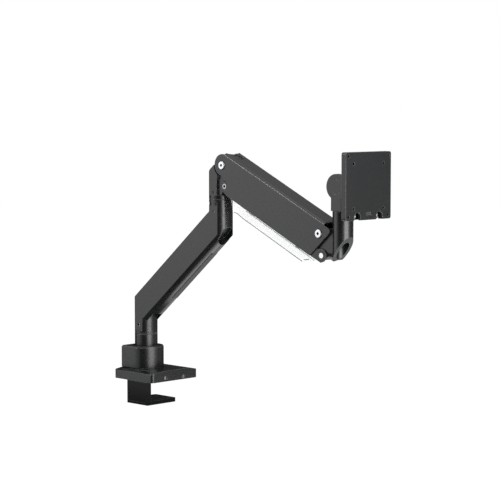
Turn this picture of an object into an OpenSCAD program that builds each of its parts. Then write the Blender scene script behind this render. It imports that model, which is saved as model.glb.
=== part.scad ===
// Monitor arm: desk clamp, lower arm, spring-balanced upper arm and screen plate.
// Millimetres, +Z up, origin on the base swivel axis at the desk surface, +X is the reach.

/* [Swivel axes] */
// reach from the base axis to the elbow axis
elbow_x = 202; // [200:0.5:206]
// reach from the base axis to the head axis
head_x = 496.8; // [496:0.2:498]
// height of the base seam
base_seam_z = 85.4; // [84:0.2:87]
// height of the elbow seam
elbow_seam_z = 344.6; // [344:0.2:346]
// height of the head seam
head_seam_z = 335.5; // [334:0.5:337]

/* [Tubes] */
// radius of the round posts and collars
tube_r = 21.44; // [21.2:0.02:21.8]
// half width across the flats of the lower arm
flat_y = 19; // [18.6:0.1:19.6]
// radius of the head tube
head_r = 17.8; // [17.4:0.1:18]

/* [Desk clamp] */
// length of the base plate toward the desk
plate_y1 = 64; // [62:0.5:68]
// height of the plate at its middle
plate_top = 20.3; // [20:0.1:21]
// height of the plate at its ends
plate_end = 16.3; // [15.5:0.1:17]
// radius of the housing
house_r = 32.9; // [32.6:0.1:33]
// height of the housing top
house_top = 60.6; // [59:0.2:62]
// top face of the jaw
jaw_top = -37; // [-38:0.5:-36]

/* [Upper arm] */
// distance between the two pivots of one channel
link_len = 258.8; // [258:0.1:260]
// downward slope of the arm at rest
slope = 25.06; // [25:0.02:25.2]
// half width of the outer channel
chan_y = 20; // [19.8:0.1:20.4]
// sheet thickness of both channels
sheet = 2.2; // [1.8:0.1:2.4]

/* [Screen plate] */
// side of the square screen plate
screen_w = 113.4; // [112:0.2:116]
// spacing of the large hole pattern
vesa_big = 100;
// spacing of the small hole pattern
vesa_small = 75;
// radius of the screen holes
vesa_r = 2.5; // [2.2:0.05:2.6]

/* [Hidden] */
$fn = 64;
run_gap = 0.05;      // running fit between round faces
side_gap = 0.3;      // free play between faces that pass each other
washer_t = 0.8;      // seam washers

// pivots of the upper arm in the plane of the arm
ax = 224.7;  az = 405.7;
bx = 228.34; bz = 368.2;
cx = ax + link_len * cos(slope);
cz = az - link_len * sin(slope);
dx = cx + bx - ax;
dz = cz + bz - az;
link_u = (bx - ax) * cos(slope) - (bz - az) * sin(slope);
link_w = (bx - ax) * sin(slope) + (bz - az) * cos(slope);

// clamp
plate_x0 = -34;  plate_x1 = 72.4;  plate_y0 = -51;
crest_y0 = -24;  crest_y1 = 29.4;
pad_t = 1.6;     plate_z0 = 0.4;
strap_x0 = -7.5; strap_x1 = 50;
strap_y0 = -42.8; strap_y1 = -33.6;
jaw_y1 = 30;     jaw_t = 7.6;
jack_x = 20.5;   jack_y = -32.6; jack_r = 3; jack_head_r = 5; jack_head_z = 10;
post_r = 13;     post_top = 124;
flange_r = 25;   flange_t = 5;

// lower arm
arm_x = -11;     arm_z = 153.3;  arm_tilt = 39.96;
arm_t = 35;                      // depth of the round underside's axis below the top face
cable_r = 12;   mouth_x = 213; mouth_z = 279; mouth_r = 15;
slot_s = 19.5;  slot_y = 13;   slot_r = 5;    gable_z = 129;
spig_low_r = 13; spig_r = 10;    spig_low_z = 300; spig_top = 378;
bush_t = 2;

// elbow knuckle
tongue_y = 14.9;
nut_z = az - 14; nut_r = 4.5;
yoke_y = 7.8;
collar_top = 352;  spine_x = 210;

// upper arm, in its own frame: u forward from the upper rear pivot, w up
top_w = 23;        // top face of the web, over a bend at each edge
bend_r = 5;        // outer radius of the bend
web_u0 = -2;       // rear end of the web
web_u1 = link_len + 4.2;                 // front end of the web
gas_w = -12.4;   gas_r = 11;  gas_u0 = 62; gas_u1 = link_len - 42.8;
anchor_u = link_len - 27.8;  rod_r = 4;
in_y = chan_y - sheet - side_gap - 0.1;   // outer face of the inner channel
pin_b_r = 4.75;  pin_d_r = 4.75; disc_d_r = 6.4;
pin_a_r = 4;     head_a_r = 7.2;

under_z = 265.9;   mitre_x = head_x - 12.3;
// head
neck_y = 18;     neck_x = 11.4;
tilt_z = 376.5;  tilt_r = 21.9;  tilt_y = 10.8;
screen_x = head_x + 57.1; screen_t = 10; screen_z = 379.6;
spin_r = 5.5;    nut_x0 = head_x + 19.2;   recv_x0 = head_x + 40.2;   lock_y = 27.8;   lock_z = 50;

black = [0.14, 0.14, 0.15];
dark = [0.22, 0.22, 0.23];
steel = [0.78, 0.78, 0.79];
poly = [0.08, 0.08, 0.08];
clear = [0.9, 0.92, 0.94];

// ---- helpers ----
module box(x0, x1, y0, y1, z0, z1) translate([x0, y0, z0]) cube([x1 - x0, y1 - y0, z1 - z0]);
module zc(x, y, r, z0, z1) translate([x, y, z0]) cylinder(r = r, h = z1 - z0);
module yc(x, z, r, y0, y1) translate([x, y1, z]) rotate([90, 0, 0]) cylinder(r = r, h = y1 - y0);
module xc(y, z, r, x0, x1) translate([x0, y, z]) rotate([0, 90, 0]) cylinder(r = r, h = x1 - x0);
module yprism(pts, y0, y1) translate([0, y1, 0]) rotate([90, 0, 0]) linear_extrude(y1 - y0) polygon(pts);
module xprism(pts, x0, x1) translate([x0, 0, 0]) rotate([90, 0, 90]) linear_extrude(x1 - x0) polygon(pts);
module rbox(x0, x1, y0, y1, z0, z1, r) {
    box(x0 + r, x1 - r, y0, y1, z0, z1);
    box(x0, x1, y0 + r, y1 - r, z0, z1);
    for (x = [x0 + r, x1 - r]) for (y = [y0 + r, y1 - r]) zc(x, y, r, z0, z1);
}
module both_y() { children(); mirror([0, 1, 0]) children(); }
module beam() translate([ax, 0, az]) rotate([0, slope, 0]) children();
module slant() translate([arm_x, 0, arm_z]) rotate([0, -arm_tilt, 0]) children();
module obround_y(x0, x1, z, r, y0, y1) {
    yc(x0, z, r, y0, y1);
    yc(x1, z, r, y0, y1);
    box(x0, x1, y0, y1, z - r, z + r);
}

// ---- desk clamp ----
module base_plate() color(black) difference() {
    intersection() {
        rbox(plate_x0, plate_x1, plate_y0, plate_y1, plate_z0, plate_top, 6);
        xprism([[plate_y0, plate_z0], [plate_y1, plate_z0], [plate_y1, plate_end],
            [crest_y1, plate_top], [crest_y0, plate_top], [plate_y0, plate_end]],
            plate_x0, plate_x1);
    }
    box(plate_x0 + 6, plate_x1 - 6, -22, plate_y1 - 6, plate_z0 - 1, pad_t);
    // slot for the bracket, with a bridge left round the clamp screw
    difference() {
        box(strap_x0 - side_gap, strap_x1 + side_gap, strap_y0 - side_gap, strap_y1 + side_gap,
            plate_z0 - 1, plate_top + 1);
        box(jack_x - 7.2, jack_x + 7.2, strap_y0 + 4.4, strap_y1 + 2, plate_z0 - 2, plate_top + 2);
    }
    zc(jack_x, jack_y, jack_r + 0.2, plate_z0 - 1, plate_top);
    zc(jack_x, jack_y, jack_head_r + 0.3, jack_head_z, plate_top + 1);
    // flange seat and bolts of the post
    zc(0, 0, post_r, pad_t + 3, plate_top + 1);
    for (a = [45:90:315]) rotate(a) zc(19, 0, 2.1, pad_t + 3, plate_top + 1);
    // side screws
    xc(-17, 6.6, 2.1, plate_x1 - 14, plate_x1 + 1);
    xc(-17, 6.6, 4, plate_x1 - 4, plate_x1 + 1);
    xc(29, 5, 2.1, plate_x1 - 14, plate_x1 + 1);
    xc(29, 5, 4, plate_x1 - 4, plate_x1 + 1);
}
module desk_pad() color(poly) difference() {
    box(plate_x0 + 6.1, plate_x1 - 6.1, -21.9, plate_y1 - 6.1, 0, pad_t);
    zc(45, 40, 3, -1, pad_t + 1);
    zc(-20, 40, 3, -1, pad_t + 1);
}
module clamp_screw() color(steel) difference() {
    union() {
        zc(jack_x, jack_y, jack_r, -42.5, jack_head_z + 1);
        zc(jack_x, jack_y, jack_head_r, jack_head_z, jack_head_z + 6);
    }
    translate([jack_x, jack_y, jack_head_z + 3]) cylinder(r = 2.5, h = 4, $fn = 6);
}
module side_screws() color(steel) for (p = [[-17, 6.6], [29, 5]]) difference() {
    union() {
        xc(p[0], p[1], 2, plate_x1 - 13, plate_x1 - 3);
        xc(p[0], p[1], 3.4, plate_x1 - 3.9, plate_x1 - 1.4);
    }
    translate([plate_x1 - 2.6, p[0], p[1]]) rotate([0, 90, 0]) cylinder(r = 1.6, h = 2, $fn = 6);
}
module base_post() color(steel) difference() {
    union() {
        zc(0, 0, post_r - 0.01, pad_t + 3.2, plate_top + 1);
        zc(0, 0, flange_r, plate_top, plate_top + flange_t);
        zc(0, 0, post_r, plate_top + flange_t - 1, 96);
        zc(0, 0, post_r - 1.6, 95, 106);
        zc(0, 0, post_r, 105, post_top - 1);
        translate([0, 0, post_top - 1]) cylinder(r1 = post_r, r2 = post_r - 1, h = 1);
    }
    for (a = [45:90:315]) rotate(a) zc(19, 0, 2.2, plate_top - 1, plate_top + flange_t + 1);
}
module post_bolts() color(steel) for (a = [45:90:315]) rotate(a) difference() {
    union() {
        zc(19, 0, 2, pad_t + 4, plate_top + flange_t + 1);
        zc(19, 0, 3.6, plate_top + flange_t, plate_top + flange_t + 3.6);
    }
    translate([19, 0, plate_top + flange_t + 1.6]) cylinder(r = 1.8, h = 3, $fn = 6);
}
module d_shape(r, z0, z1) {
    zc(0, 0, r, z0, z1);
    box(-r, 0, -r, r, z0, z1);
}
module base_housing() color(black) difference() {
    union() {
        d_shape(house_r, plate_top, house_top - 2);
        d_shape(house_r - 1, house_top - 2.01, house_top);
    }
    difference() {
        d_shape(house_r - 2.4, plate_top - 1, house_top - 3);
        zc(0, 0, 17, plate_top + 9, house_top);
    }
    zc(0, 0, post_r + 0.1, plate_top - 1, house_top + 1);
    difference() {
        zc(0, 0, tube_r + 2, house_top - 1.6, house_top + 1);
        zc(0, 0, tube_r + 0.2, house_top - 2, house_top + 2);
    }
}
module post_collar() color(black) difference() {
    union() {
        zc(0, 0, tube_r, house_top, base_seam_z - 2.4);
        zc(0, 0, tube_r - 0.7, house_top, base_seam_z - 1.6);
        zc(0, 0, tube_r, base_seam_z - 1.8, base_seam_z);
    }
    zc(0, 0, post_r, house_top - 1, base_seam_z + 1);
}
module clamp_bracket() color(black) difference() {
    union() {
        rbox(strap_x0, strap_x1, strap_y0, jaw_y1, jaw_top - jaw_t, jaw_top, 4);
        intersection() {
            union() {
                rbox(strap_x0, strap_x1, strap_y0, strap_y0 + 30, jaw_top - jaw_t, plate_top, 2);
                box(strap_x0, strap_x1, strap_y0 + 3, strap_y1, jaw_top - 1, plate_top);
            }
            xprism([[strap_y0, jaw_top - jaw_t], [strap_y1, jaw_top - jaw_t],
                [strap_y1, plate_top - 2], [strap_y0, plate_top - 3.4]], strap_x0, strap_x1);
        }
    }
    // channel round the screw bridge, thread in the jaw, shallow recess outside
    box(jack_x - 7.5, jack_x + 7.5, strap_y0 + 4.1, strap_y1 + 1, jaw_top, plate_top + 1);
    zc(jack_x, jack_y, jack_r + run_gap, jaw_top - jaw_t - 1, jaw_top + 1);
    box(strap_x0 + 3, strap_x1 - 3, strap_y0 - 1, strap_y0 + 1, jaw_top - 3, -3);
    box(strap_x0 + 6, strap_x1 - 6, -22, jaw_y1 - 4, jaw_top - 1.2, jaw_top + 1);
}
module jaw_pad() color(poly)
    box(strap_x0 + 6, strap_x1 - 6, -22, jaw_y1 - 4, jaw_top - 1.2, jaw_top + 0.3);

// ---- lower arm ----
foot_z = base_seam_z + washer_t;
arm_top_z = elbow_seam_z - washer_t;
module arm_body() intersection() {
    union() {
        zc(0, 0, tube_r, foot_z, arm_z);
        zc(elbow_x, 0, tube_r, 282, arm_top_z - 10);
        zc(elbow_x, 0, tube_r - 0.6, 282, arm_top_z - 4);
        zc(elbow_x, 0, tube_r, arm_top_z - 5, arm_top_z);
        intersection() {
            slant() {
                box(-40, 300, -flat_y, flat_y, -arm_t, 0);
                translate([-40, 0, -arm_t]) rotate([0, 90, 0]) cylinder(r = tube_r, h = 340);
            }
            union() {
                box(0, elbow_x, -30, 30, 0, 400);
                zc(0, 0, tube_r, 0, 400);
                zc(elbow_x, 0, tube_r, 0, 400);
            }
        }
    }
    yprism([[-tube_r - 1, foot_z], [-tube_r - 1, arm_z - 11.4 * tan(arm_tilt) + 0.05],
        [elbow_x - tube_r - 1, arm_z + (elbow_x - tube_r - 1 - arm_x) * tan(arm_tilt)],
        [elbow_x - tube_r - 1, arm_top_z], [elbow_x + tube_r, arm_top_z],
        [elbow_x + tube_r, 240], [60, foot_z]], -flat_y, flat_y);
}
module lower_arm() color(black) difference() {
    union() {
        arm_body();
        zc(0, 0, tube_r, foot_z, foot_z + 4);
        zc(elbow_x, 0, tube_r - 0.5, arm_top_z - 10.6, arm_top_z - 4);
        zc(elbow_x, 0, tube_r, arm_top_z - 4.3, arm_top_z);
    }
    zc(0, 0, post_r + bush_t, foot_z - 1, post_top + 2);
    zc(elbow_x, 0, spig_low_r, spig_low_z, arm_top_z + 1);
    // cable way along the arm with an opening at each end
    slant() {
        translate([10, 0, -arm_t]) rotate([0, 90, 0]) cylinder(r = cable_r, h = 218);
        // groove for the cable cover
        translate([70, -7.1, -arm_t - tube_r - 1]) cube([140, 14.2, 5.2]);
    }
    // lower mouth of the cable way, in front of the foot's wall, which ends in a gable
    difference() {
        slant() {
            translate([-12, -slot_y, -arm_t - 30]) cube([slot_s + 12 - slot_r, 2 * slot_y, 30]);
            translate([-12, slot_r - slot_y, -arm_t - 30])
                cube([slot_s + 12, 2 * (slot_y - slot_r), 30]);
            for (y = [slot_r - slot_y, slot_y - slot_r])
                translate([slot_s - slot_r, y, -arm_t - 30]) cylinder(r = slot_r, h = 30);
        }
        zc(0, 0, post_r + bush_t + 2.2, foot_z, arm_z);
        intersection() {
            zc(0, 0, tube_r, foot_z, arm_z);
            xprism([[-22, foot_z], [-22, gable_z - 19.2], [0, gable_z], [22, gable_z - 19.2],
                [22, foot_z]], 0, 25);
        }
    }
    // mouth of the cable way, facing forward and down under the elbow
    translate([mouth_x, 0, mouth_z]) rotate([0, 132, 0]) {
        for (t = [-3, 3]) translate([t, 0, -7]) cylinder(r = mouth_r, h = 50);
        translate([-3, -mouth_r, -7]) cube([6, 2 * mouth_r, 50]);
    }
    translate([0, 0, 100.7]) rotate([90, 0, 0]) cylinder(r = 3, h = 40);
    translate([elbow_x, 0, 322]) rotate([90, 0, 0]) cylinder(r = 2.5, h = 40);
}
module base_bush() color(poly) difference() {
    zc(0, 0, post_r + bush_t, foot_z, post_top + 1);
    zc(0, 0, post_r + run_gap, foot_z - 1, post_top + 2);
    translate([0, 0, 100.7]) rotate([90, 0, 0]) cylinder(r = 3, h = 40);
}
module base_washer() color(poly) difference() {
    zc(0, 0, tube_r - 0.8, base_seam_z, foot_z - 0.02);
    zc(0, 0, post_r, base_seam_z - 1, foot_z + 1);
}
module foot_screws() color(steel) {
    difference() {
        translate([0, -11.8, 100.7]) rotate([90, 0, 0]) cylinder(r = 3, h = 5.4);
        translate([0, -15, 100.7]) rotate([90, 0, 0]) cylinder(r = 1.5, h = 5, $fn = 6);
    }
    difference() {
        translate([elbow_x, -13, 322]) rotate([90, 0, 0]) cylinder(r = 2.5, h = 4.4);
        translate([elbow_x, -15.5, 322]) rotate([90, 0, 0]) cylinder(r = 1.3, h = 5, $fn = 6);
    }
}
module elbow_spigot() color(steel) {
    zc(elbow_x, 0, spig_low_r, spig_low_z, arm_top_z);
    zc(elbow_x, 0, spig_r, arm_top_z - 1, 353);
    zc(elbow_x, 0, spig_r - 1.4, 352, 362);
    zc(elbow_x, 0, spig_r, 361, spig_top);
}
module lower_cable_cover() color(dark) slant()
    translate([70.3, -7, -arm_t - tube_r + 0.2]) cube([139.4, 14, 3.6]);

// ---- elbow ----
module elbow_knuckle() color(black) difference() {
    union() {
        zc(elbow_x, 0, tube_r, elbow_seam_z, collar_top);
        // wide spine behind, its front edge round the channel's end
        intersection() {
            difference() {
                yprism([[elbow_x - tube_r - 1, collar_top - 1], [spine_x, collar_top - 1],
                    [spine_x, 380], [spine_x + 4, 384.5], [ax, 386.4], [ax, az], [208, 410.1],
                    [elbow_x - tube_r - 1, 386.6]], -flat_y, flat_y);
                yc(ax, az, lobe_r + 2.2, -30, 30);
            }
            zc(elbow_x, 0, tube_r, collar_top - 1, 420);
        }
        // tongue between the channel walls
        yprism([[195, collar_top - 1], [217, collar_top - 1], [222.6, 362], [bx + 8.5, bz],
            [bx + 8, 380], [ax + 9, az], [ax, az + 9], [ax - 8, az + 5], [204, 396]],
            -tongue_y, tongue_y);
        yc(bx, bz, 8.5, -tongue_y, tongue_y);
        yc(ax, az, 9, -tongue_y, tongue_y);
    }
    zc(elbow_x, 0, spig_r + bush_t, elbow_seam_z - 1, spig_top + 2);
    // slot for the spring's yoke, open at the top for the tension screw
    yc(ax, nut_z, 14, -yoke_y - 0.5, yoke_y + 0.5);
    box(ax, ax + 40, -yoke_y - 0.5, yoke_y + 0.5, nut_z - 14, az + 30);
    box(ax + 4, ax + 40, -yoke_y - 0.5, yoke_y + 0.5, bz + pin_b_r + 1.2, az + 30);
    box(ax - 9, ax + 40, -yoke_y - 0.5, yoke_y + 0.5, nut_z, az + 30);
    yc(bx, bz, pin_b_r, -30, 30);
    yc(ax, az, pin_a_r, -30, 30);
    yc(ax, nut_z, nut_r, -tongue_y + 2, tongue_y - 2);
    zc(ax, 0, 3, nut_z - 24, nut_z);
    translate([elbow_x, 0, 357]) rotate([90, 0, 0]) cylinder(r = 2.5, h = 40);
}
module elbow_bush() color(poly) difference() {
    zc(elbow_x, 0, spig_r + bush_t, elbow_seam_z, spig_top + 1);
    zc(elbow_x, 0, spig_r + run_gap, elbow_seam_z - 1, spig_top + 2);
    translate([elbow_x, 0, 357]) rotate([90, 0, 0]) cylinder(r = 2.5, h = 40);
}
module elbow_washer() color(poly) difference() {
    zc(elbow_x, 0, tube_r - 0.8, arm_top_z + 0.02, elbow_seam_z);
    zc(elbow_x, 0, spig_r + 0.1, arm_top_z - 1, elbow_seam_z + 1);
}
module knuckle_screws() color(steel) difference() {
    translate([elbow_x, -9, 357]) rotate([90, 0, 0]) cylinder(r = 2.5, h = 8);
    translate([elbow_x, -15.5, 357]) rotate([90, 0, 0]) cylinder(r = 1.3, h = 5, $fn = 6);
}
module rear_stubs() color(steel) both_y() yc(ax, az, pin_a_r, yoke_y + 0.6, chan_y + 0.5);
module rear_pin() color(steel) difference() {
    yc(bx, bz, pin_b_r, -in_y, in_y);
    translate([bx, -in_y + 2.4, bz]) rotate([90, 0, 0]) cylinder(r = 2.3, h = 4, $fn = 6);
}
module tension_screw() color(steel) difference() {
    zc(ax, 0, 2.5, nut_z - 17, az + 4);
    translate([ax, 0, az]) cylinder(r = 1.6, h = 5, $fn = 6);
}
module tension_nut() color(steel) difference() {
    yc(ax, nut_z, nut_r, -tongue_y + 2, tongue_y - 2);
    zc(ax, 0, 2.5, nut_z - 10, nut_z + 10);
}

// ---- upper arm ----
wall_y = chan_y - sheet;
lobe_r = 19.2;   lobe_u = 0.4;   lobe_w = 1.2;
bend_w = top_w - bend_r;                    // where the wall ends and the bend begins
outer_side = [[0, 0], [-8, -12], [6, -17.9], [14.9, -20.6], [21.5, -21.8], [26.6, -25.2], [29.3, -30.6],
    [29.6, -37], [31.5, -44], [link_len - 3, -44], [link_len + 3.1, -30.5], [link_len + 20.8, 11.6],
    [link_len + 20.4, 14.6], [link_len + 18.6, 16.9], [link_len + 15.6, bend_w], [0, bend_w]];
module upper_channel() color(black) beam() difference() {
    union() {
        both_y() difference() {
            union() {
                yprism(outer_side, wall_y, chan_y);
                yc(lobe_u, lobe_w, lobe_r, wall_y, chan_y);
            }
            yc(0, 0, pin_a_r + 2, 0, 30);
            yc(link_len, 0, pin_a_r + 2, 0, 30);
            box(web_u0, web_u0 + 30, 0, 30, bend_w, 40);
        }
        // web on top, joined to each wall by a bend
        box(web_u0, web_u1, bend_r - chan_y - 0.1, chan_y - bend_r + 0.1, top_w - sheet, top_w);
        both_y() translate([0, chan_y - bend_r, bend_w]) intersection() {
            rotate([0, 90, 0]) difference() {
                translate([0, 0, web_u0]) cylinder(r = bend_r, h = web_u1 - web_u0);
                translate([0, 0, web_u0 - 1]) cylinder(r = bend_r - sheet, h = web_u1 - web_u0 + 2);
            }
            box(web_u0, web_u1, 0, bend_r, -0.1, bend_r);
        }
    }
    // hollowed rear edge between the lobes, and the round hole behind it
    intersection() {
        translate([-28, 0, bend_w - 4]) cylinder(r = 31.5, h = 20);
        box(-40, 10, bend_r - chan_y, chan_y - bend_r, bend_w - 4, 40);
    }
    translate([15.5, 0, bend_w - 4]) cylinder(r = 9.5, h = 20);
}
module flanged_bush(u) beam() both_y() difference() {
    union() {
        yc(u, 0, pin_a_r + 2, tongue_y + 0.1, chan_y);
        yc(u, 0, head_a_r + 1, chan_y, chan_y + 0.4);
    }
    yc(u, 0, pin_a_r + run_gap, 10, 30);
}
module rear_bushes() color(poly) flanged_bush(0);
module front_bushes() color(poly) flanged_bush(link_len);
module pivot_screw(u) beam() for (s = [-1, 1]) difference() {
    union() {
        translate([u, s * (chan_y + 0.5), 0]) rotate([-90 * s, 0, 0]) cylinder(r = head_a_r, h = 1);
        translate([u, s * (chan_y + 1.5), 0]) rotate([-90 * s, 0, 0])
            cylinder(r1 = head_a_r, r2 = head_a_r - 0.8, h = 0.6);
    }
    translate([u, s * (chan_y + 0.6), 0]) rotate([-90 * s, 0, 0]) cylinder(r = 2.4, h = 4, $fn = 6);
}
module rear_screws() color(steel) pivot_screw(0);
module front_screws() color(steel) pivot_screw(link_len);
module spring_anchor() color(dark) beam() difference() {
    union() {
        box(anchor_u - 8, anchor_u, -wall_y, wall_y, -18.6, bend_w);
        box(anchor_u - 8, anchor_u + 8, -wall_y, wall_y, -11, bend_w);
        box(anchor_u - 8, anchor_u + 8, bend_r - chan_y, chan_y - bend_r, bend_w - 1, top_w - sheet);
    }
    translate([anchor_u - 9, 0, gas_w]) rotate([0, 90, 0]) cylinder(r = 4.5, h = 10);
}
module gas_cylinder() color(dark) beam() difference() {
    union() {
        translate([gas_u0, 0, gas_w]) rotate([0, 90, 0]) cylinder(r = gas_r, h = gas_u1 - gas_u0);
        translate([gas_u1 - 1, 0, gas_w]) rotate([0, 90, 0])
            cylinder(r = 4.5, h = anchor_u - gas_u1);
    }
    translate([gas_u0 + 6, 0, gas_w]) rotate([0, 90, 0])
        cylinder(r = gas_r - 1.6, h = gas_u1 - gas_u0 - 12);
    translate([gas_u0 - 1, 0, gas_w]) rotate([0, 90, 0]) cylinder(r = rod_r + run_gap, h = 9);
}
// inner channel: runs beside the rear and front pins
lu0 = link_u; lw = link_w; lu1 = link_u + link_len;
inner_side = [[lu0 - 8, lw - 3], [lu0 - 8, lw + 3], [lu0 - 4, lw + 7.5], [lu0 + 3, lw + 8],
    [lu0 + 12, lw + 6], [lu1 - 12, lw + 6], [lu1 - 6, lw + 10], [lu1 + 3, lw + 11.4],
    [lu1 + 9.4, lw + 7.6], [lu1 + 11.4, lw], [lu1 + 9.6, lw - 6.5], [lu1 + 4, lw - 11.6],
    [lu0 + 7, lw - 12], [lu0, lw - 8.8], [lu0 - 5, lw - 7]];
module lower_channel() color(black) beam() {
    both_y() difference() {
        yprism(inner_side, in_y - sheet, in_y);
        yc(lu0, lw, pin_b_r + 1.5, 0, 30);
        yc(lu1, lw, pin_d_r + 1.5, 0, 30);
    }
    box(lu0 + 8, lu1 - 9, -in_y + 0.1, in_y - 0.1, lw - 12, lw - 12 + sheet);
}
module link_bushes() color(poly) beam() both_y() for (u = [lu0, lu1]) difference() {
    yc(u, lw, pin_b_r + 1.5, in_y - sheet, in_y);
    yc(u, lw, pin_b_r + run_gap, 10, 30);
}
cov_u = link_len + 3.2;                  // front end of the cover
module cable_cover() color(clear) beam() difference() {
    yprism([[41.3, lw - 12], [56.9, -64.1], [67.9, -62.1], [80, -63.4], [cov_u - 20, -63.4],
        [cov_u - 10, -58], [cov_u, -50], [cov_u, lw - 12]], -16, 16);
    yprism([[44, lw - 11], [58.8, -62], [68, -60.6], [80, -61.8], [cov_u - 21, -61.8],
        [cov_u - 11, -56.6], [cov_u + 1, -46.5], [cov_u + 1, lw - 11]], -14.4, 14.4);
    box(40, 60, -9, 9, -58, lw - 10);
}
module cover_clips() color(poly) beam() for (u = [90, link_len - 44.8]) difference() {
    box(u, u + 8, -12, 12, lw - 18, lw - 12);
    box(u - 1, u + 9, -9, 9, lw - 16, lw - 13.5);
}
// rod and yoke of the gas spring
rod_u0 = 30;
module gas_rod() color(steel) beam() {
    translate([rod_u0 - 8, 0, gas_w]) rotate([0, 90, 0]) cylinder(r = rod_r, h = 98);
    translate([rod_u0 + 88, 0, gas_w]) rotate([0, 90, 0])
        cylinder(r = gas_r - 1.6 - run_gap, h = 12);
}
nut_u = (nut_z - az) * -sin(slope);
module rod_yoke() color(dark) beam() difference() {
    union() {
        box(nut_u - 7.6, nut_u + 8, -yoke_y, yoke_y, gas_w - 9.4, gas_w + 9.4);
        box(nut_u, rod_u0, -yoke_y, yoke_y, gas_w - 4.5, gas_w + 4.5);
    }
    box(nut_u - 9, nut_u + 8, -4.6, 4.6, gas_w - 12, gas_w + 12);
    for (w = [gas_w - 2, gas_w + 2]) yc(nut_u, w, nut_r + 0.5, -20, 20);
    box(nut_u - nut_r - 0.5, nut_u + nut_r + 0.5, -20, 20, gas_w - 2, gas_w + 2);
    translate([rod_u0 - 8, 0, gas_w]) rotate([0, 90, 0]) cylinder(r = rod_r, h = 20);
}

// ---- head ----
module front_knuckle() color(black) difference() {
    union() {
        yc(cx, cz, 9, -tongue_y, tongue_y);
        yc(dx, dz, 8.3, -tongue_y, tongue_y);
        intersection() {
            union() {
                yprism([[cx - 9, cz], [cx, cz + 9], [head_x, cz + 9], [head_x, under_z],
                    [dx, under_z], [dx - 8.3, dz], [cx - 9, cz]], -tongue_y, tongue_y);
                xc(0, under_z, tongue_y, dx + 4, head_x);
                box(dx, head_x, -tongue_y, tongue_y, under_z, cz);
                zc(head_x, 0, head_r, 240, head_seam_z - washer_t);
            }
            // mitre under the tube
            yprism([[cx - 20, under_z - tongue_y], [mitre_x, under_z - tongue_y],
                [mitre_x + 60, under_z - tongue_y + 81], [mitre_x + 60, 340], [cx - 20, 340]], -20, 20);
        }
    }
    zc(head_x, 0, 11, 240, head_seam_z);
    yc(cx, cz, pin_a_r, -30, 30);
    yc(dx, dz, pin_d_r, -30, 30);
}
module front_stubs() color(steel) yc(cx, cz, pin_a_r, -chan_y - 0.5, chan_y + 0.5);
module front_pin() color(steel) yc(dx, dz, pin_d_r, -in_y, in_y);
module head_bush() color(poly) difference() {
    zc(head_x, 0, 11, 290, head_seam_z - washer_t);
    zc(head_x, 0, 9 + run_gap, 289, head_seam_z);
}
module head_washer() color(poly) difference() {
    zc(head_x, 0, head_r - 0.6, head_seam_z - washer_t + 0.02, head_seam_z);
    zc(head_x, 0, 9.1, head_seam_z - 2, head_seam_z + 1);
}
module head_spindle() color(steel) difference() {
    union() {
        zc(head_x, 0, 9, 289, head_seam_z);
        zc(head_x, 0, 6, head_seam_z, head_seam_z + 14);
        zc(head_x, 0, 10.4, 285, 289.6);
    }
    translate([head_x, 0, 284]) cylinder(r = 3, h = 6, $fn = 6);
}
module head_neck() color(black) difference() {
    union() {
        box(head_x - neck_x, head_x + neck_x, -neck_y, neck_y, head_seam_z, tilt_z);
        yc(head_x, tilt_z, tilt_r, -neck_y, neck_y);
    }
    zc(head_x, 0, 6, head_seam_z - 1, head_seam_z + 14);
    xc(0, head_seam_z + 7, 2.5, head_x - neck_x - 1, head_x);
    yc(head_x, tilt_z, 17.4, -tilt_y - 0.2, tilt_y + 0.2);
    box(head_x, head_x + 40, -tilt_y - 0.2, tilt_y + 0.2, tilt_z - 21.4, tilt_z + 40);
    box(head_x - 10, head_x + 1, -tilt_y - 0.2, tilt_y + 0.2, tilt_z, tilt_z + 40);
    yc(head_x, tilt_z, 5, -30, 30);
    for (s = [-1, 1]) yc(head_x, tilt_z, 12, s > 0 ? neck_y - 2.4 : -neck_y - 1,
        s > 0 ? neck_y + 1 : -neck_y + 2.4);
}
module neck_screw() color(steel) difference() {
    xc(0, head_seam_z + 7, 2.5, head_x - neck_x + 0.4, head_x - 6);
    translate([head_x - neck_x, 0, head_seam_z + 7]) rotate([0, 90, 0]) cylinder(r = 1.3, h = 2, $fn = 6);
}
module tilt_bracket() color(black) difference() {
    union() {
        yc(head_x, tilt_z, 17, -tilt_y + 0.6, tilt_y - 0.6);
        box(head_x, recv_x0 - 6, -tilt_y + 0.6, tilt_y - 0.6, tilt_z - 11, screen_z + 10.5);
        xc(0, screen_z, 20, recv_x0 - 8, recv_x0 - 1);
    }
    yc(head_x, tilt_z, 5 + run_gap, -30, 30);
    xc(0, screen_z, spin_r + run_gap, nut_x0 - 1, recv_x0 + 3);
    xc(0, screen_z, 8.2, nut_x0 - 3, nut_x0 + 4.1);
}
module tilt_axle() color(steel) yc(head_x, tilt_z, 5, -neck_y + 2.4, neck_y - 2.4);
module tilt_washers() color(poly) both_y() difference() {
    yc(head_x, tilt_z, 14, tilt_y - 0.55, tilt_y + 0.15);
    yc(head_x, tilt_z, 5.1, 0, 30);
}
module tilt_caps() color(black) both_y() yc(head_x, tilt_z, 12, neck_y - 2.4, neck_y);
module turn_shaft() color(steel) xc(0, screen_z, spin_r, nut_x0 + 1, recv_x0 + 4);
module turn_nut() color(steel) difference() {
    translate([nut_x0, 0, screen_z]) rotate([0, 90, 0]) cylinder(r = 7.6, h = 4, $fn = 6);
    xc(0, screen_z, spin_r, nut_x0 + 1, recv_x0 - 7);
}
module turn_washer() color(poly) difference() {
    xc(0, screen_z, 19, recv_x0 - 0.95, recv_x0);
    xc(0, screen_z, spin_r + 0.1, recv_x0 - 7, recv_x0 + 3);
}
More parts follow.
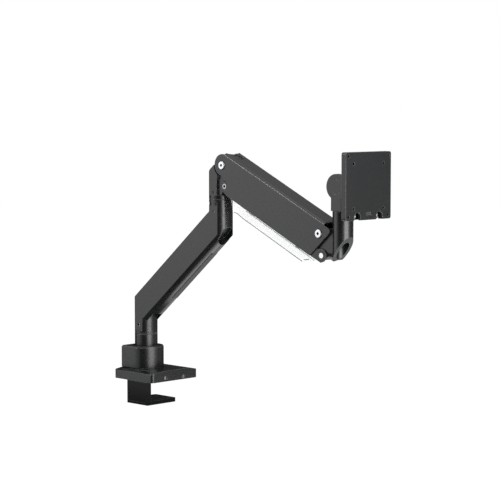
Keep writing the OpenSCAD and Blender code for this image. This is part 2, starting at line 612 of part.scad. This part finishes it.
// round-cornered plate in the YZ plane, from z0 to z1 above the turn axis
module yz_plate(x0, x1, wy, z0, z1, r) {
    box(x0, x1, -wy / 2 + r, wy / 2 - r, screen_z + z0, screen_z + z1);
    box(x0, x1, -wy / 2, wy / 2, screen_z + z0 + r, screen_z + z1 - r);
    for (y = [-wy / 2 + r, wy / 2 - r]) for (z = [z0 + r, z1 - r]) xc(y, screen_z + z, r, x0, x1);
}
back_x = screen_x - screen_t;
module dovetail(gap, z0, z1) translate([0, 0, screen_z + z0]) linear_extrude(z1 - z0)
    polygon([[back_x - 1, -26 - gap], [back_x + 4.8 + gap, -29 - gap],
        [back_x + 4.8 + gap, 29 + gap], [back_x - 1, 26 + gap]]);
module receiver_plate() color(black) difference() {
    union() {
        yz_plate(recv_x0, back_x - 0.1, 74, -56.2, 37, 6);
        dovetail(0, -26, 24);
    }
    xc(0, screen_z, spin_r, recv_x0 - 1, recv_x0 + 4);
    for (y = [-lock_y, lock_y]) xc(y, screen_z - lock_z, 2, recv_x0 - 1, screen_x + 6);
}
module screen_plate() color(black) difference() {
    yz_plate(back_x, screen_x, screen_w, -screen_w / 2, screen_w / 2, 4);
    dovetail(0.15, -60, 24.3);
    for (s = [vesa_big, vesa_small]) for (i = [-1, 1]) for (j = [-1, 1])
        xc(i * s / 2, screen_z + j * s / 2, vesa_r, back_x - 1, screen_x + 1);
    for (y = [-lock_y, lock_y]) {
        box(back_x - 1, screen_x + 1, y - 8, y + 8, screen_z - 60, screen_z - 51.3);
        xc(y, screen_z - 51.3, 8, back_x - 1, screen_x + 1);
    }
    for (z = [-47.8, -44.8])
        box(screen_x - 1, screen_x + 1, -5.5, 5.5, screen_z + z - 0.7, screen_z + z + 0.7);
}
module lock_screws() color(steel) for (y = [-lock_y, lock_y]) difference() {
    union() {
        xc(y, screen_z - lock_z, 2, recv_x0 + 1, back_x);
        xc(y, screen_z - lock_z, 4, back_x - 0.1, back_x + 3);
    }
    translate([back_x + 1.4, y, screen_z - lock_z]) rotate([0, 90, 0]) cylinder(r = 1.8, h = 2, $fn = 6);
}

base_plate();
desk_pad();
clamp_screw();
side_screws();
base_housing();
base_post();
post_bolts();
post_collar();
clamp_bracket();
jaw_pad();
lower_arm();
base_bush();
base_washer();
foot_screws();
elbow_spigot();
lower_cable_cover();
elbow_knuckle();
elbow_bush();
elbow_washer();
knuckle_screws();
rear_stubs();
rear_pin();
tension_screw();
tension_nut();
upper_channel();
rear_bushes();
front_bushes();
spring_anchor();
gas_cylinder();
rear_screws();
front_screws();
lower_channel();
link_bushes();
cable_cover();
cover_clips();
gas_rod();
rod_yoke();
front_knuckle();
front_stubs();
front_pin();
head_bush();
head_washer();
head_spindle();
head_neck();
neck_screw();
tilt_bracket();
tilt_axle();
tilt_washers();
tilt_caps();
turn_shaft();
receiver_plate();
turn_nut();
turn_washer();
screen_plate();
lock_screws();
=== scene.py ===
"""Desk-clamped monitor arm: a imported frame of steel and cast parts, dressed for a plain white studio."""
import math

import bmesh
import bpy
from mathutils import Matrix, Vector


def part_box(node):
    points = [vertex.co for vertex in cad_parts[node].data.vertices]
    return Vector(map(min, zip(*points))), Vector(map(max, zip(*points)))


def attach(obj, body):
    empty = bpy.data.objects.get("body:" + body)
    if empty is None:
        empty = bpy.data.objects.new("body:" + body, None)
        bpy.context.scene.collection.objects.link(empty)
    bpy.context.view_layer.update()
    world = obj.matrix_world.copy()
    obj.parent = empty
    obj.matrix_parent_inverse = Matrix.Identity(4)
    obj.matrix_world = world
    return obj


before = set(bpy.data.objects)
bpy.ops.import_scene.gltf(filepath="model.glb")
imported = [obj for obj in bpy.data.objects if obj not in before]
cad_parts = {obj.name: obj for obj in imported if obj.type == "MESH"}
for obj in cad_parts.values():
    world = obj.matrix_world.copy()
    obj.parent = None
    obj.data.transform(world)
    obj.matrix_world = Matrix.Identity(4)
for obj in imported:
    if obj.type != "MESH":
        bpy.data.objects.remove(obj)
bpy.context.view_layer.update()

# ---- Camera ----
# A long lens stands ahead of the arm and to its right, a little above the desk,
# so the reach, the near side of each channel and the screen plate's face all show.
camera_place = Vector((2.60587, -2.34752, 0.52969))
camera_turn = math.radians(44.788)
camera_drop = math.radians(4.725)
sensor_width = 36.0
focal_length = 134.69
far_limit = 60.0

lens = bpy.data.cameras.new("studio_camera")
lens.sensor_width = sensor_width
lens.lens = focal_length
lens.clip_end = far_limit
camera = bpy.data.objects.new("studio_camera", lens)
bpy.context.collection.objects.link(camera)
camera.location = camera_place
camera.rotation_euler = (math.pi / 2 - camera_drop, 0.0, camera_turn)
bpy.context.scene.camera = camera
bpy.context.scene.view_settings.view_transform = "Standard"


# ---- Studio ----
# White paper lies under the arm, far enough down to take the clamp's shadow.
# Broad soft boxes light the arm, and cards that show only in gloss put bands on its round tubes.
def linear(hex_colour):
    """sRGB hex to linear RGBA."""
    parts = [int(hex_colour[i:i + 2], 16) / 255 for i in (1, 3, 5)]
    return [c / 12.92 if c <= 0.04045 else ((c + 0.055) / 1.055) ** 2.4 for c in parts] + [1.0]


def add(tree, kind, fed=(), attributes=None, **inputs):
    """Adds a node with its attributes and named inputs, then feeds (socket or value, input) pairs in."""
    node = tree.nodes.new(kind)
    for key, value in (attributes or {}).items():
        setattr(node, key, value)
    for key, value in inputs.items():
        node.inputs[key.replace("_", " ")].default_value = value
    for source, target in fed:
        if isinstance(source, bpy.types.NodeSocket):
            tree.links.new(source, node.inputs[target])
        else:
            node.inputs[target].default_value = source
    return node


def cleared(name):
    """A new material with an empty node tree."""
    made = bpy.data.materials.new(name)
    made.use_nodes = True
    made.node_tree.nodes.clear()
    return made, made.node_tree


# the world is a dim white where it lights the arm, and full white to the eye, in gloss and through glass
paper_white = "#ffffff"
sky_light = 0.62
sky_seen = 1.0

world = bpy.data.worlds.new("studio_world")
bpy.context.scene.world = world
world.use_nodes = True
tree = world.node_tree
tree.nodes.clear()
ray = add(tree, "ShaderNodeLightPath")
seen = ray.outputs["Is Camera Ray"]
for kind in ("Is Glossy Ray", "Is Transmission Ray"):
    either = add(tree, "ShaderNodeMath", [(seen, 0), (ray.outputs[kind], 1)], {"operation": "MAXIMUM"})
    seen = either.outputs[0]
dim = add(tree, "ShaderNodeBackground", Color=linear(paper_white), Strength=sky_light)
full = add(tree, "ShaderNodeBackground", Color=linear(paper_white), Strength=sky_seen)
mixed = add(tree, "ShaderNodeMixShader", [(seen, 0), (dim.outputs[0], 1), (full.outputs[0], 2)])
add(tree, "ShaderNodeOutputWorld", [(mixed.outputs[0], "Surface")])

# the paper takes light and shade as any matt white does, and to the eye it is nearly all its own white
floor_height = -0.32
floor_reach = 9.0
paper_matt = "#f4f4f4"
paper_glow = 1.05
glow_share = 0.96

paper, tree = cleared("white_paper")
ray = add(tree, "ShaderNodeLightPath")
matt = add(tree, "ShaderNodeBsdfDiffuse", Color=linear(paper_matt))
glow = add(tree, "ShaderNodeEmission", Color=linear(paper_white), Strength=paper_glow)
shown = add(tree, "ShaderNodeMath", [(ray.outputs["Is Camera Ray"], 0), (glow_share, 1)],
            {"operation": "MULTIPLY"})
mixed = add(tree, "ShaderNodeMixShader", [(shown.outputs[0], 0), (matt.outputs[0], 1), (glow.outputs[0], 2)])
add(tree, "ShaderNodeOutputMaterial", [(mixed.outputs[0], "Surface")])

mesh = bpy.data.meshes.new("floor")
mesh.from_pydata([(x * floor_reach, y * floor_reach, floor_height) for x, y in
                  ((-1, -1), (1, -1), (1, 1), (-1, 1))], [], [(0, 1, 2, 3)])
floor = bpy.data.objects.new("floor", mesh)
bpy.context.collection.objects.link(floor)
mesh.materials.append(paper)

# each box: turn and lift in degrees, distance and size in metres, power in watts
arm_middle = Vector((0.26, 0.0, 0.22))
soft_boxes = {
    "left_box": (-135, 12, 2.2, (1.6, 1.9), 8),
    "front_box": (-9, 12, 2.2, (1.7, 1.9), 74),
    "top_box": (-40, 80, 2.2, (1.8, 1.8), 10),
    "edge_strip": (-123, 32, 2.2, (1.2, 0.16), 16),
}
for name, (turn, lift, away, size, power) in soft_boxes.items():
    lamp = bpy.data.lights.new(name, "AREA")
    lamp.shape = "RECTANGLE"
    lamp.size, lamp.size_y = size
    lamp.energy = power
    box = bpy.data.objects.new(name, lamp)
    bpy.context.collection.objects.link(box)
    turn, lift = math.radians(turn), math.radians(lift)
    out = Vector((math.cos(turn) * math.cos(lift), math.sin(turn) * math.cos(lift), math.sin(lift)))
    box.location = arm_middle + out * away
    box.rotation_euler = out.to_track_quat("Z", "Y").to_euler()

# each card: from and to in degrees, how bright it is, and its inner edge (out, up) and outer edge in metres
cards = {
    "dark_card": (-98, -44, 0.0, (1.5, -0.5), (1.5, 1.3)),
    "grey_card": (34, 92, 0.2, (1.5, -0.5), (1.5, 2.0)),
    "back_card": (92, 205, 0.05, (1.5, -0.5), (1.5, 1.0)),
    "upper_card": (92, 205, 0.4, (1.5, 1.0), (1.5, 2.2)),
    "floor_card": (-150, -30, 0.0, (0.16, -0.3), (1.5, -0.3)),
    "under_card": (-20, 200, 3.6, (0.01, -0.31), (0.3, -0.31)),
}
card_panels = 12
for name, (turn_from, turn_to, level, inner, outer) in cards.items():
    card_paint, tree = cleared(name)
    glow = add(tree, "ShaderNodeEmission", Color=linear(paper_white), Strength=level)
    add(tree, "ShaderNodeOutputMaterial", [(glow.outputs[0], "Surface")])
    mesh = bpy.data.meshes.new(name)
    turns = [math.radians(turn_from + (turn_to - turn_from) * i / card_panels)
             for i in range(card_panels + 1)]
    mesh.from_pydata([(arm_middle.x + away * math.cos(t), arm_middle.y + away * math.sin(t), z)
                      for away, z in (inner, outer) for t in turns], [],
                     [(i, i + 1, i + 2 + card_panels, i + 1 + card_panels) for i in range(card_panels)])
    card = bpy.data.objects.new(name, mesh)
    bpy.context.collection.objects.link(card)
    mesh.materials.append(card_paint)
    card.visible_camera = False
    card.visible_shadow = False
    card.visible_diffuse = False
    card.visible_transmission = False


# ---- Clamp castings ----
# The desk plate carries the post on four bolts; a housing and a collar close over its foot.
# All three are cast aluminium, shot-blasted and powder coated: a charcoal skin with a fine
# orange peel, paler at the edges from wear and a painted highlight, and darker in recesses
# where painted shade takes its gloss away.
def finish(material, *names):
    """Gives the named CAD nodes one material."""
    for name in names:
        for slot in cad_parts[name].material_slots:
            slot.material = material


def rounded_edge(tree, radius):
    """The normal of a face whose sharp edges the light finds rounded, by a radius in metres."""
    edge_rays = 6
    return add(tree, "ShaderNodeBevel", attributes={"samples": edge_rays}, Radius=radius).outputs[0]


def powder_coat(name, shades, edge_wear_and_highlight, roughness, peel):
    """Baked powder paint: an even charcoal in two drifting shades, edges paler as wear and painted
    highlight.

    Its gloss comes from a fine orange peel, and inside a recess it is taken away as painted shade.
    peel is the orange peel's pitch in metres, drawn coarser than the real 0.3 mm so it shows.
    """
    drift_per_metre = 16.0     # cloudy patches 60 mm wide, a spray gun's pass
    speck_per_metre = 420.0    # grains of powder, 2.4 mm here and 0.1 mm on the real paint
    edge_radius = 0.0009
    edge_start = 0.99          # how far the rounded normal leans from the face's, as a cosine
    edge_full = 0.86
    shade_reach = 0.022       # how near other metal paints shade into the gloss, in metres
    full_shade_sky = 0.4          # the open share of the sky at which no gloss is left
    no_shade_sky = 0.72        # and at which all of it is there
    open_gloss = 0.5
    sky_rays = 6
    gloss_spread = (-0.03, 0.04)
    noise_span = (0.3, 0.7)    # where nearly all of the speck's noise lies
    peel_height = 0.0002
    peel_strength = 0.03

    made, tree = cleared(name)
    shader = add(tree, "ShaderNodeBsdfPrincipled", IOR=1.5)
    place = add(tree, "ShaderNodeTexCoord").outputs["Object"]
    # painted shade: where other metal is near, the gloss is taken away, so recesses and seams go dark
    sky = add(tree, "ShaderNodeAmbientOcclusion", attributes={"samples": sky_rays}, Distance=shade_reach)
    gloss = add(tree, "ShaderNodeMapRange", [(sky.outputs["AO"], "Value")],
                From_Min=full_shade_sky, From_Max=no_shade_sky, To_Min=0.0, To_Max=open_gloss)
    tree.links.new(gloss.outputs[0], shader.inputs["Specular IOR Level"])

    drift = add(tree, "ShaderNodeTexNoise", [(place, "Vector")],
                Scale=drift_per_metre, Detail=4.0, Roughness=0.6)
    shade = add(tree, "ShaderNodeMix", [(drift.outputs["Fac"], "Factor"), (linear(shades[0]), 6),
                                        (linear(shades[1]), 7)], {"data_type": "RGBA"})
    normal = rounded_edge(tree, edge_radius)
    face = add(tree, "ShaderNodeNewGeometry").outputs["Normal"]
    lean = add(tree, "ShaderNodeVectorMath", [(normal, 0), (face, 1)], {"operation": "DOT_PRODUCT"})
    # the edge colour is wear and a painted highlight along every sharp edge
    edge = add(tree, "ShaderNodeMapRange", [(lean.outputs["Value"], "Value")],
               From_Min=edge_start, From_Max=edge_full)
    patchy = add(tree, "ShaderNodeMath", [(edge.outputs[0], 0), (drift.outputs["Fac"], 1)],
                 {"operation": "MULTIPLY"})
    worn_and_lit = add(tree, "ShaderNodeMix", [(patchy.outputs[0], "Factor"), (shade.outputs[2], 6),
                                       (linear(edge_wear_and_highlight), 7)], {"data_type": "RGBA"})
    tree.links.new(worn_and_lit.outputs[2], shader.inputs["Base Color"])

    speck = add(tree, "ShaderNodeTexNoise", [(place, "Vector")], Scale=speck_per_metre, Detail=1.0)
    sheen = add(tree, "ShaderNodeMapRange", [(speck.outputs["Fac"], "Value")],
                From_Min=noise_span[0], From_Max=noise_span[1],
                To_Min=roughness + gloss_spread[0], To_Max=roughness + gloss_spread[1])
    tree.links.new(sheen.outputs[0], shader.inputs["Roughness"])
    skin = add(tree, "ShaderNodeTexNoise", [(place, "Vector")], Scale=1 / peel, Detail=2.0)
    bump = add(tree, "ShaderNodeBump", [(skin.outputs["Fac"], "Height"), (normal, "Normal")],
               Strength=peel_strength, Distance=peel_height)
    tree.links.new(bump.outputs[0], shader.inputs["Normal"])
    add(tree, "ShaderNodeOutputMaterial", [(shader.outputs[0], "Surface")])
    return made


# near black with a soft gloss; a casting's edges go a dull mid grey, from wear and as a painted highlight
charcoal = ("#0d0e0f", "#141516")
casting_edge_wear_and_highlight = "#7c7d7f"
casting_roughness = 0.28
casting_peel = 0.0012
cast_coat = powder_coat("powder_coated_casting", charcoal, casting_edge_wear_and_highlight, casting_roughness, casting_peel)
finish(cast_coat, "base_plate", "base_housing", "post_collar")

# ---- Clamp strap and jaw ----
# One steel strap, bent square at the bottom, which the jack screw draws up under the desk.
# Its coat is drawn blacker and flatter than the castings' as painted shade from the plate above,
# and its gloss fades to dullest low down, painted shade where the desk shades it.
strap_coat = powder_coat("powder_coated_strap", ("#070808", "#0d0e0e"), edge_wear_and_highlight="#5a5b5c",
                         roughness=0.36, peel=0.0009)
low_gloss = 0.03          # specular level at the strap's foot
high_gloss = 0.2          # and at its top
tree = strap_coat.node_tree
place = add(tree, "ShaderNodeTexCoord").outputs["Object"]
height = add(tree, "ShaderNodeSeparateXYZ", [(place, "Vector")])
low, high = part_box("clamp_bracket")
# painted shade: the gloss fades from the strap's top down to its foot
painted_shade_fade = add(tree, "ShaderNodeMapRange", [(height.outputs["Z"], "Value")],
           From_Min=low[2], From_Max=high[2], To_Min=low_gloss, To_Max=high_gloss)
tree.links.new(painted_shade_fade.outputs[0], tree.nodes["Principled BSDF"].inputs["Specular IOR Level"])
finish(strap_coat, "clamp_bracket")


# ---- Clamp pads ----
# Black rubber, moulded with a fine leather grain, so it neither slips nor marks the desk.
# The eye gets a dead matt black, greyed in patches by dust.
def mottled(name, shades, pattern, gloss=None, **settings):
    """A material whose colour wanders between two shades in a noise pattern.

    pattern holds the noise's own inputs, with Scale as patches in a metre.
    gloss, where given, is the least and most roughness, which wanders with the colour.
    """
    made, tree = cleared(name)
    shader = add(tree, "ShaderNodeBsdfPrincipled", **settings)
    place = add(tree, "ShaderNodeTexCoord").outputs["Object"]
    patches = add(tree, "ShaderNodeTexNoise", [(place, "Vector")], **pattern).outputs["Fac"]
    shade = add(tree, "ShaderNodeMix", [(patches, "Factor"), (linear(shades[0]), 6), (linear(shades[1]), 7)],
                {"data_type": "RGBA"})
    tree.links.new(shade.outputs[2], shader.inputs["Base Color"])
    if gloss:
        sheen = add(tree, "ShaderNodeMapRange", [(patches, "Value")], To_Min=gloss[0], To_Max=gloss[1])
        tree.links.new(sheen.outputs[0], shader.inputs["Roughness"])
    add(tree, "ShaderNodeOutputMaterial", [(shader.outputs[0], "Surface")])
    return made


# dust lies in patches 17 mm wide; the grain's cells are 1.4 mm, twice the real ones, so they show
dust_patches = {"Scale": 60.0, "Detail": 5.0}
grain_per_metre = 700.0
grain_height = 0.0003
pad_rubber = mottled("moulded_rubber", ("#141414", "#222222"), dust_patches, Roughness=0.78)
tree = pad_rubber.node_tree
place = add(tree, "ShaderNodeTexCoord").outputs["Object"]
grain = add(tree, "ShaderNodeTexVoronoi", [(place, "Vector")], {"feature": "DISTANCE_TO_EDGE"},
            Scale=grain_per_metre)
bump = add(tree, "ShaderNodeBump", [(grain.outputs["Distance"], "Height")],
           Strength=0.35, Distance=grain_height)
tree.links.new(bump.outputs[0], tree.nodes["Principled BSDF"].inputs["Normal"])
finish(pad_rubber, "desk_pad", "jaw_pad")


# Low round grip ribs run across the jaw's pad, moulded in one with it and 0.4 mm proud.
def growth_tree(name, *sizes):
    """A node tree that takes points, the named sizes in metres and a material."""
    tree = bpy.data.node_groups.new(name, "GeometryNodeTree")
    tree.interface.new_socket("Geometry", in_out="OUTPUT", socket_type="NodeSocketGeometry")
    tree.interface.new_socket("Geometry", in_out="INPUT", socket_type="NodeSocketGeometry")
    for size in sizes:
        tree.interface.new_socket(size, in_out="INPUT", socket_type="NodeSocketFloat")
    tree.interface.new_socket("Material", in_out="INPUT", socket_type="NodeSocketMaterial")
    return tree, add(tree, "NodeGroupInput")


def set_on_points(tree, given, shape):
    """Ends a growth tree: the shape on every point, made real and given the material."""
    spots = add(tree, "GeometryNodeMeshToPoints", [(given.outputs["Geometry"], "Mesh")])
    copies = add(tree, "GeometryNodeInstanceOnPoints", [(spots.outputs[0], "Points"),
                                                        (shape.outputs[0], "Instance")])
    solid = add(tree, "GeometryNodeRealizeInstances", [(copies.outputs[0], 0)])
    dressed = add(tree, "GeometryNodeSetMaterial", [(solid.outputs[0], "Geometry"),
                                                    (given.outputs["Material"], "Material")])
    add(tree, "NodeGroupOutput", [(dressed.outputs[0], 0)])


def grown(name, points, tree, body, slot, material, **sizes):
    """A piece that a growth tree makes on points, turned into a plain mesh that rides on a body."""
    seed = bpy.data.meshes.new(name + "_points")
    seed.from_pydata([tuple(p) for p in points], [], [])
    piece = bpy.data.objects.new(name, seed)
    bpy.context.collection.objects.link(piece)
    growth = piece.modifiers.new("growth", "NODES")
    growth.node_group = tree
    names = {item.name: item.identifier for item in tree.interface.items_tree
             if item.item_type == "SOCKET" and item.in_out == "INPUT"}
    growth[names["Material"]] = material
    for key, value in sizes.items():
        growth[names[key.replace("_", " ")]] = value
    done = bpy.data.meshes.new_from_object(piece.evaluated_get(bpy.context.evaluated_depsgraph_get()))
    done.materials.clear()
    done.materials.append(material)
    done.polygons.foreach_set("material_index", [0] * len(done.polygons))
    piece.modifiers.clear()
    piece.data = done
    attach(piece, body)


rib_radius = 0.0006
rib_sides = 12
rib_pitch = 0.0032
rib_sunk = 0.0002         # how far a rib's middle lies under the pad's face
first_rib = 0.003         # from the pad's edge to the first rib
plain_border = 0.004      # of the pad's length and width, left without ribs

ribs, given = growth_tree("grip_ribs", "Rib Length", "Rib Radius")
right = add(ribs, "ShaderNodeMath", [(given.outputs["Rib Length"], 0), (0.5, 1)], {"operation": "MULTIPLY"})
left = add(ribs, "ShaderNodeMath", [(right.outputs[0], 0), (-1.0, 1)], {"operation": "MULTIPLY"})
start = add(ribs, "ShaderNodeCombineXYZ", [(left.outputs[0], "X")])
stop = add(ribs, "ShaderNodeCombineXYZ", [(right.outputs[0], "X")])
line = add(ribs, "GeometryNodeCurvePrimitiveLine", [(start.outputs[0], "Start"), (stop.outputs[0], "End")])
ring = add(ribs, "GeometryNodeCurvePrimitiveCircle", [(given.outputs["Rib Radius"], "Radius")],
           Resolution=rib_sides)
rib = add(ribs, "GeometryNodeCurveToMesh", [(line.outputs[0], "Curve"), (ring.outputs[0], "Profile Curve")],
          Fill_Caps=True)
set_on_points(ribs, given, rib)

low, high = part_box("jaw_pad")
rib_count = int((high[1] - low[1] - plain_border) / rib_pitch)
grown("jaw_grip_ribs",
      [((low[0] + high[0]) / 2, low[1] + first_rib + i * rib_pitch, high[2] - rib_sunk)
       for i in range(rib_count)],
      ribs, "clamp", "pad_rubber", pad_rubber,
      Rib_Length=high[0] - low[0] - plain_border, Rib_Radius=rib_radius)


# ---- Post, spigot and pins ----
# Bright drawn bar, turned on a lathe: rings left by the tool run round it, under a film of oil.
# The eye gets a clean satin metal with faint lines and slightly darker, duller smears.
def lathe_steel(name, shades, roughness, ring_pitch, ring_axis):
    """Turned steel, oiled and with its edges just broken.

    ring_pitch is the tool's feed in metres, drawn coarser than the real 0.1 mm so it shows.
    """
    oil_patches = {"Scale": 90.0, "Detail": 4.0}     # smears 11 mm wide
    oil_spread = (-0.05, 0.08)                       # what they take from and add to the roughness
    wave_period = 0.314                              # of the wave texture at a scale of 1
    ring_height = 0.0001
    edge_radius = 0.0003
    made = mottled(name, shades, oil_patches, Metallic=1.0,
                   gloss=(roughness + oil_spread[0], roughness + oil_spread[1]))
    tree = made.node_tree
    place = add(tree, "ShaderNodeTexCoord").outputs["Object"]
    rings = add(tree, "ShaderNodeTexWave", [(place, "Vector")], {"bands_direction": ring_axis},
                Scale=wave_period / ring_pitch, Distortion=0.6)
    bump = add(tree, "ShaderNodeBump", [(rings.outputs["Fac"], "Height"),
                                        (rounded_edge(tree, edge_radius), "Normal")],
               Strength=0.1, Distance=ring_height)
    tree.links.new(bump.outputs[0], tree.nodes["Principled BSDF"].inputs["Normal"])
    return made


upright_steel = lathe_steel("turned_steel_upright", ("#b2b3b5", "#9c9da0"),
                            roughness=0.3, ring_pitch=0.001, ring_axis="Z")
finish(upright_steel, "base_post", "elbow_spigot", "head_spindle", "tension_screw")
cross_steel = lathe_steel("turned_steel_cross_pin", ("#a9aaad", "#949598"),
                          roughness=0.26, ring_pitch=0.0008, ring_axis="Y")
finish(cross_steel, "rear_pin", "side_screws", "rear_stubs", "front_stubs", "tilt_axle", "tension_nut")
axial_steel = lathe_steel("ground_steel_shaft", ("#c2c3c5", "#adaeb1"),
                          roughness=0.2, ring_pitch=0.0008, ring_axis="X")
finish(axial_steel, "gas_rod", "turn_shaft", "turn_nut")

# ---- Screws and pin heads ----
# Cold-headed steel under bright zinc: the palest metal on the arm, satin from the plating barrel.
# The clamp's jack screw and the post's four bolts are black oxide, a thin grey-black bloom on steel.
zinc = lathe_steel("bright_zinc_plate", ("#dfe2e5", "#cccfd3"),
                   roughness=0.3, ring_pitch=0.0006, ring_axis="X")
finish(zinc, "rear_screws", "front_screws", "front_pin", "lock_screws", "neck_screw",
       "foot_screws", "knuckle_screws")
bloom_patches = {"Scale": 300.0, "Detail": 3.0}      # blotches 3.3 mm wide
black_oxide = mottled("black_oxide_screw", ("#26272a", "#3a3b3e"), bloom_patches,
                      Metallic=1.0, Roughness=0.34)
finish(black_oxide, "post_bolts", "clamp_screw")

# A thin black plug, a little wider than the hexagon socket and 0.1 mm proud, sits in each pivot
# screw's head and on both ends of the rear pin. It is painted shade, standing for the dark of a deep
# socket: a matt black that varies in grains of 0.7 mm.
plug_grains = {"Scale": 1500.0, "Detail": 3.0}
socket_shade_black = mottled("painted_socket_shade", ("#050505", "#121212"), plug_grains,
                       Roughness=0.7, Specular_IOR_Level=0.08)
socket_corner = 0.0028    # from the hexagon's middle to a corner
plug_sides = 6
plug_depth = 0.0008
plug_sunk = 0.0003        # how far the plug's middle lies under the head's face

sockets, given = growth_tree("socket_floors", "Corner", "Depth")
plug = add(sockets, "GeometryNodeMeshCylinder", [(given.outputs["Corner"], "Radius"),
                                                 (given.outputs["Depth"], "Depth")], Vertices=plug_sides)
across_arm = (math.pi / 2, 0.0, 0.0)
turned = add(sockets, "GeometryNodeTransform", [(plug.outputs[0], "Geometry")], Rotation=across_arm)
set_on_points(sockets, given, turned)

for node, body in (("rear_screws", "elbow"), ("rear_pin", "elbow"), ("front_screws", "front_link")):
    low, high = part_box(node)
    grown(node + "_socket_floors",
          [((low[0] + high[0]) / 2, side, (low[2] + high[2]) / 2)
           for side in (low[1] + plug_sunk, high[1] - plug_sunk)],
          sockets, body, "dark_steel", socket_shade_black, Corner=socket_corner, Depth=plug_depth)

# ---- Lower arm, knuckles and head castings ----
# Gravity-cast aluminium with thick walls, each hung on a post, spigot or pin of its neighbour.
# Blasted and coated as the clamp is, they are the same charcoal, with a thin black liner at
# each seam.
arm_coat = powder_coat("powder_coated_arm_casting", charcoal, casting_edge_wear_and_highlight,
                       casting_roughness, casting_peel)
finish(arm_coat, "lower_arm", "elbow_knuckle", "front_knuckle", "head_neck", "tilt_bracket", "tilt_caps")

# ---- Liners, washers, clips and the lower cable cover ----
# Black acetal, turned or moulded: slightly waxy, so the joints turn without grease.
# The eye gets a soft sheen that wanders in faint patches 4.5 mm wide.
wax_patches = {"Scale": 220.0, "Detail": 3.0}
acetal = mottled("black_acetal", ("#080808", "#101010"), wax_patches, gloss=(0.4, 0.55), IOR=1.48)
finish(acetal, "base_bush", "base_washer", "elbow_bush", "elbow_washer", "rear_bushes", "front_bushes",
       "link_bushes", "head_bush", "head_washer", "tilt_washers", "turn_washer", "cover_clips",
       "lower_cable_cover")

# ---- Upper arm channels ----
# Two steel channels, laser cut and folded from sheet, one inside the other on its own pivots,
# so the head stays upright as they swing. Powder coated; sheet has crisper edges than a
# casting, so they are drawn paler, from wear and as a painted edge highlight.
channel_coat = powder_coat("powder_coated_sheet_steel", ("#0e0f10", "#141516"), edge_wear_and_highlight="#8a8b8d",
                           roughness=0.28, peel=0.001)
finish(channel_coat, "upper_channel", "lower_channel")

# ---- Gas spring ----
# A drawn steel cylinder, nitrided black, with its anchor block and the rod's yoke in the same
# finish. The eye gets a hard grey-black gloss, broken by streaks 7 mm wide from the salt bath.
salt_streaks = {"Scale": 140.0, "Detail": 4.0, "Distortion": 0.4}
nitrided = mottled("nitrided_steel", ("#17181a", "#26272a"), salt_streaks, gloss=(0.24, 0.38), Metallic=0.6)
finish(nitrided, "gas_cylinder", "spring_anchor", "rod_yoke")

# ---- Cable cover ----
# A clear polycarbonate trough, extruded and cut, that snaps on clips under the upper arm.
# The eye looks through it, past a glossy skin that is scuffed in patches 4 mm wide.
scuffs = {"Scale": 260.0, "Detail": 5.0, "Roughness": 0.7}
clear = mottled("clear_polycarbonate", ("#f4f7f8", "#ffffff"), scuffs, gloss=(0.12, 0.3),
                Alpha=0.15, IOR=1.3)
finish(clear, "cable_cover")

# Along the trough's lower corners the light has far to go through the wall, so they look dark:
# a dark bead there, as thick as the wall and clouded in patches 8 mm wide, is painted shade for that.
cloud_patches = {"Scale": 120.0, "Detail": 3.0}
painted_dark_edge = mottled("painted_dark_cover_edge", ("#141516", "#2a2c2d"), cloud_patches,
                 Roughness=0.3, IOR=1.45)

# the beads' paths in the upper arm's own frame: forward from its rear pivot, and up, in metres
upper_arm_slope = math.radians(25.06)
rear_low, rear_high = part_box("rear_screws")
rear_pivot = ((rear_low[0] + rear_high[0]) / 2, 0.0, (rear_low[2] + rear_high[2]) / 2)
upper_arm = Matrix.Translation(rear_pivot) @ Matrix.Rotation(upper_arm_slope, 4, "Y")
wall_out = 0.0153         # from the arm's middle out to the bead, in the trough's side wall
bead_radius = 0.0008
bead_sides = 8
bead_paths = [
    [(0.0585, -0.0636), (0.0679, -0.0620), (0.0800, -0.0634), (0.2415, -0.0634)],
    [(0.2450, -0.0588), (0.2490, -0.0562), (0.2540, -0.0524)],
]
work = bmesh.new()
for path in bead_paths:
    for side in (-1, 1):
        rings = []
        for i, (u, w) in enumerate(path):
            before = Vector(path[max(i - 1, 0)])
            after = Vector(path[min(i + 1, len(path) - 1)])
            along = (after - before).normalized()
            ring = []
            for k in range(bead_sides):
                a = math.tau * k / bead_sides
                spot = Vector((u - bead_radius * math.cos(a) * along.y,
                               side * wall_out + bead_radius * math.sin(a),
                               w + bead_radius * math.cos(a) * along.x))
                ring.append(work.verts.new(upper_arm @ spot))
            rings.append(ring)
        for one, two in zip(rings, rings[1:]):
            for k in range(bead_sides):
                k_next = (k + 1) % bead_sides
                work.faces.new((one[k], one[k_next], two[k_next], two[k]))
        work.faces.new(rings[0])
        work.faces.new(rings[-1])
bmesh.ops.recalc_face_normals(work, faces=work.faces)
mesh = bpy.data.meshes.new("cover_rims")
work.to_mesh(mesh)
work.free()
mesh.materials.append(painted_dark_edge)
rims = bpy.data.objects.new("cover_rims", mesh)
bpy.context.collection.objects.link(rims)
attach(rims, "inner_link")

# ---- Screen plate and its receiver ----
# The plate slides down over the receiver's dovetail, and two screws lock it. Both are cast
# aluminium again, in a more matt coat, since the screen's back rests on it: the eye gets a
# broad, soft sheen on the flat face, and pale rims round its holes, from wear and a painted highlight.
plate_coat = powder_coat("matt_powder_coated_plate", ("#0d0e0f", "#131415"), edge_wear_and_highlight="#8a8b8d",
                         roughness=0.36, peel=0.001)
finish(plate_coat, "screen_plate", "receiver_plate")
